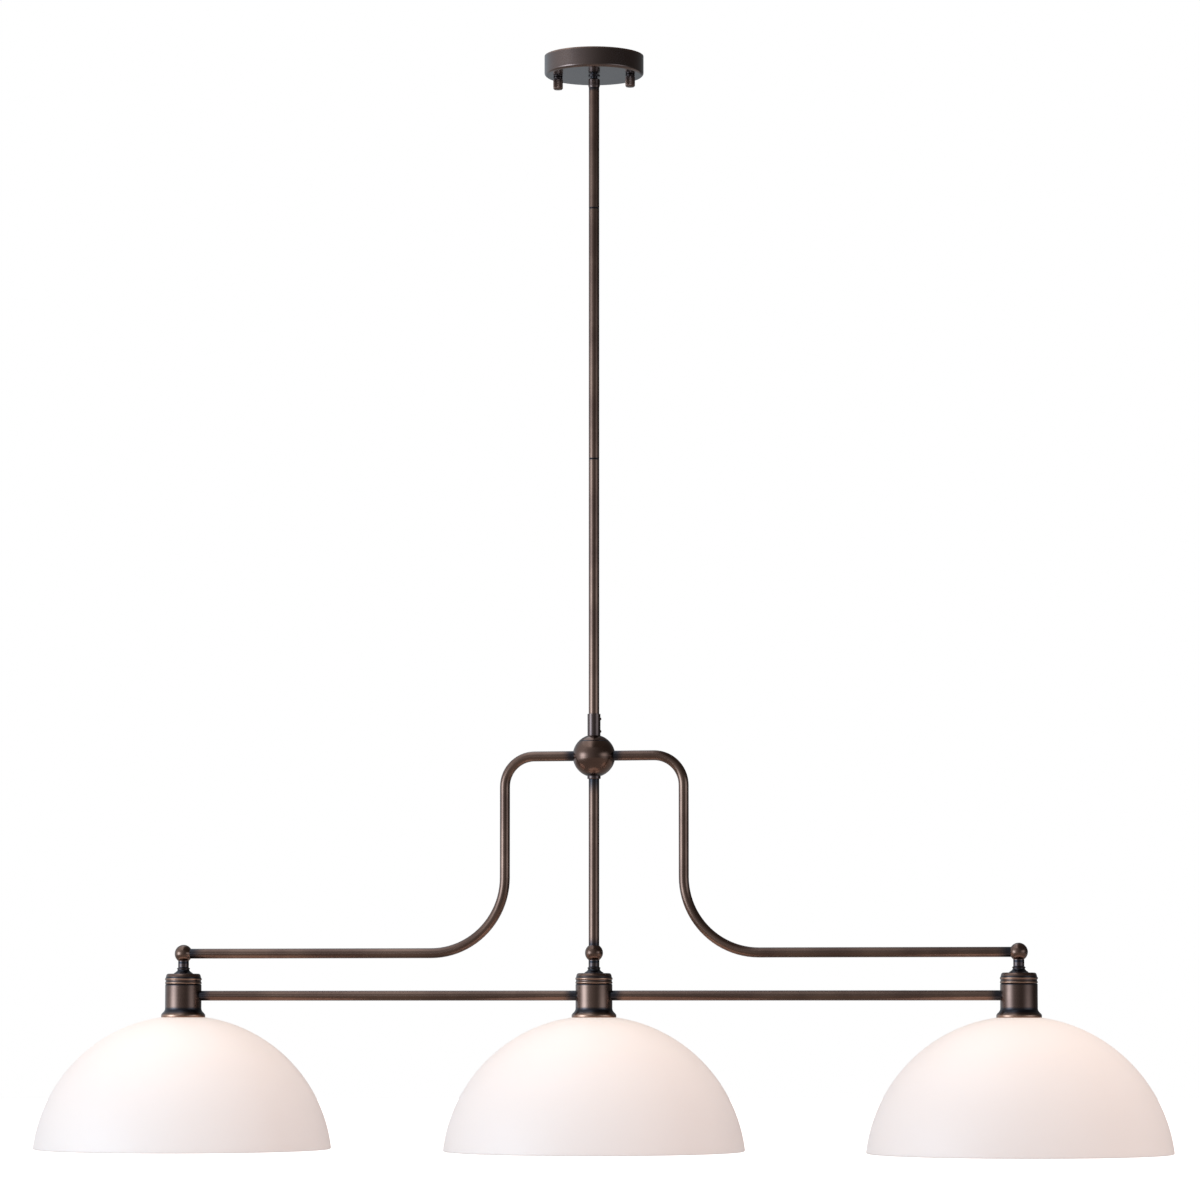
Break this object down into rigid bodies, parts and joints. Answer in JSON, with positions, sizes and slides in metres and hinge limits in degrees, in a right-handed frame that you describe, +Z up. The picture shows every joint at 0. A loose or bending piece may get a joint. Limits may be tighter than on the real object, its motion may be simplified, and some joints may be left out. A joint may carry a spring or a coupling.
{
  "type": "linear island pendant",
  "caption": "Ceiling pendant with a row of opal glass dome shades on a bronze bar frame, hung by a jointed stem from a round canopy.",
  "frame": {"origin": "on the stem's axis in the ceiling plane, at the middle of the crossbar's upper face", "axes": "+X along the row of shades to the right, +Y away from the viewer, +Z up"},
  "size_m": [1.376, 0.3598, 1.3207],
  "materials": {
    "bronze": "brushed oil-rubbed bronze plating with copper showing on the edges",
    "zinc_steel": "zinc plated",
    "green_screw": "green zinc plated",
    "opal_glass": "opal white, smooth outside",
    "bulb_glass": "frosted white",
    "bulb_cap": "rolled thread",
    "brass_shell": "plain stamped",
    "socket_ceramic": "glazed white",
    "gasket_rubber": "silicone",
    "cable_jacket": "round cable jacket",
    "connector_plastic": "moulded",
    "splice_plastic": "moulded"
  },
  "bodies": {
    "ceiling_mount": {"box_strap": "zinc_steel", "stud_strap": "zinc_steel", "strap_rivet": "zinc_steel", "ground_screw": "green_screw", "canopy_studs": "zinc_steel", "stud_lock_nuts": "zinc_steel", "canopy": "bronze"},
    "cap_nut_left": {"cap_nut_left": "bronze"},
    "cap_nut_right": {"cap_nut_right": "bronze"},
    "swivel": {"swivel_yoke": "bronze", "swivel_washer": "zinc_steel", "swivel_nut": "zinc_steel", "supply_cable": "cable_jacket", "supply_connectors": "connector_plastic"},
    "fixture": {"swivel_barrel": "bronze", "swivel_pins": "bronze", "rod_top": "bronze", "rod_middle": "bronze", "rod_lower": "bronze", "rod_nipples": "zinc_steel", "hub_sleeve": "bronze", "hub_set_screws": "bronze", "hub_cap": "bronze", "hub_bowl": "bronze", "hub_ring": "bronze", "hub_nipples": "zinc_steel", "hub_lock_nuts": "zinc_steel", "splice_block": "splice_plastic", "stem_cable": "cable_jacket", "arm_left": "bronze", "arm_right": "bronze", "drop_rod": "bronze", "lamp_cables": "cable_jacket", "bar_left": "bronze", "bar_right": "bronze", "bar_lock_nuts": "zinc_steel", "knuckle_balls": "bronze", "necks": "bronze", "cup_caps": "bronze", "socket_nipples": "zinc_steel", "socket_bodies": "socket_ceramic", "screw_shells": "brass_shell", "socket_contacts": "brass_shell", "shade_gaskets": "gasket_rubber", "cup_body_left": "bronze", "shade_left": "opal_glass", "cup_body_centre": "bronze", "shade_centre": "opal_glass", "cup_body_right": "bronze", "shade_right": "opal_glass"},
    "ring_left": {"retainer_ring_left": "bronze"},
    "ring_centre": {"retainer_ring_centre": "bronze"},
    "ring_right": {"retainer_ring_right": "bronze"},
    "bulb_left": {"bulb_base_left": "bulb_cap", "bulb_glass_left": "bulb_glass"},
    "bulb_centre": {"bulb_base_centre": "bulb_cap", "bulb_glass_centre": "bulb_glass"},
    "bulb_right": {"bulb_base_right": "bulb_cap", "bulb_glass_right": "bulb_glass"}
  },
  "joints": [
    {"name": "swivel_turn", "type": "hinge", "parent": "ceiling_mount", "child": "swivel", "pos_m": [0, 0, -0.0228], "axis": [0, 0, 1], "range_deg": [-170, 170]},
    {"name": "swivel_tilt", "type": "hinge", "parent": "swivel", "child": "fixture", "pos_m": [0, 0, -0.0312], "axis": [0, 1, 0], "range_deg": [-20, 20]},
    {"name": "cap_nut_left_turn", "type": "hinge", "parent": "ceiling_mount", "child": "cap_nut_left", "pos_m": [-0.04445, 0, -0.03], "axis": [0, 0, 1], "continuous": true},
    {"name": "cap_nut_right_turn", "type": "hinge", "parent": "ceiling_mount", "child": "cap_nut_right", "pos_m": [0.04445, 0, -0.03], "axis": [0, 0, 1], "continuous": true},
    {"name": "ring_left_turn", "type": "hinge", "parent": "fixture", "child": "ring_left", "pos_m": [-0.508, 0, -1.171], "axis": [0, 0, 1], "continuous": true},
    {"name": "ring_centre_turn", "type": "hinge", "parent": "fixture", "child": "ring_centre", "pos_m": [0, 0, -1.171], "axis": [0, 0, 1], "continuous": true},
    {"name": "ring_right_turn", "type": "hinge", "parent": "fixture", "child": "ring_right", "pos_m": [0.508, 0, -1.171], "axis": [0, 0, 1], "continuous": true},
    {"name": "bulb_left_out", "type": "slide", "parent": "fixture", "child": "bulb_left", "axis": [0, 0, -1], "range_m": [0, 0.17]},
    {"name": "bulb_centre_out", "type": "slide", "parent": "fixture", "child": "bulb_centre", "axis": [0, 0, -1], "range_m": [0, 0.17]},
    {"name": "bulb_right_out", "type": "slide", "parent": "fixture", "child": "bulb_right", "axis": [0, 0, -1], "range_m": [0, 0.17]}
  ]
}
